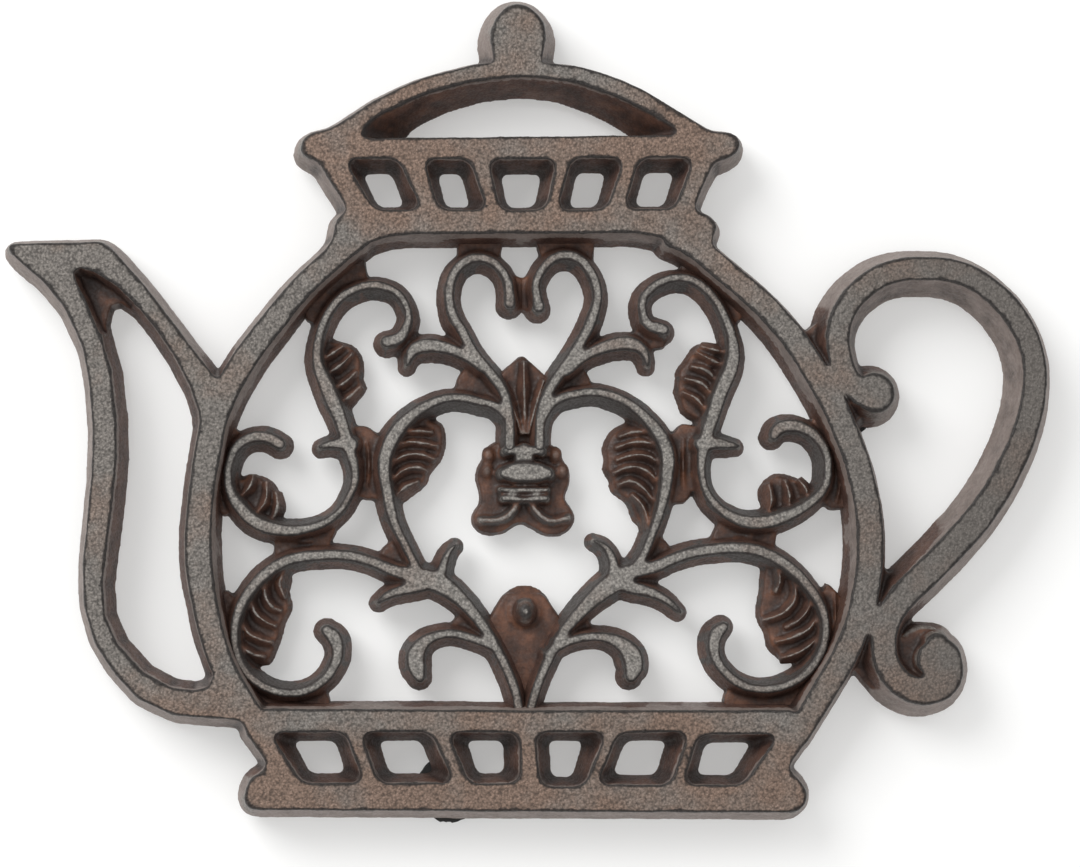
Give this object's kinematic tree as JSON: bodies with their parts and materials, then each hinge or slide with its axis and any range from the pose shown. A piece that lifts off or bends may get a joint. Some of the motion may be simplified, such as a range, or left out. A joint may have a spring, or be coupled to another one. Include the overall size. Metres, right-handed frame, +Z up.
{
  "type": "trivet",
  "caption": "Flat cast iron trivet in the outline of a teapot, with open mirrored scrollwork inside the frame and rubber feet pressed on below.",
  "frame": {"origin": "under the middle of the bounding box, on the surface that the feet stand on", "axes": "+X from the spout to the handle, +Y from the pot's foot band to its knob, +Z up out of the decorated face"},
  "size_m": [0.2092, 0.1646, 0.014],
  "materials": {
    "iron": "sand cast, bare, worn grey on the raised faces and rust brown in the low webs",
    "rubber": "matt black moulded rubber"
  },
  "bodies": {
    "root": {"base_band": "iron", "lid": "iron", "belly_rim_left": "iron", "belly_rim_right": "iron", "knob": "iron", "spout": "iron", "handle": "iron", "trunk_left": "iron", "trunk_right": "iron", "c_scroll_left": "iron", "c_scroll_right": "iron", "ring_scroll_left": "iron", "ring_scroll_right": "iron", "inner_scroll_left": "iron", "inner_scroll_right": "iron", "heart_curl_left": "iron", "heart_curl_right": "iron", "fan": "iron", "urn": "iron", "bud": "iron", "foot_cap_1": "rubber", "foot_cap_2": "rubber", "foot_cap_3": "rubber", "foot_cap_4": "rubber"}
  },
  "joints": []
}
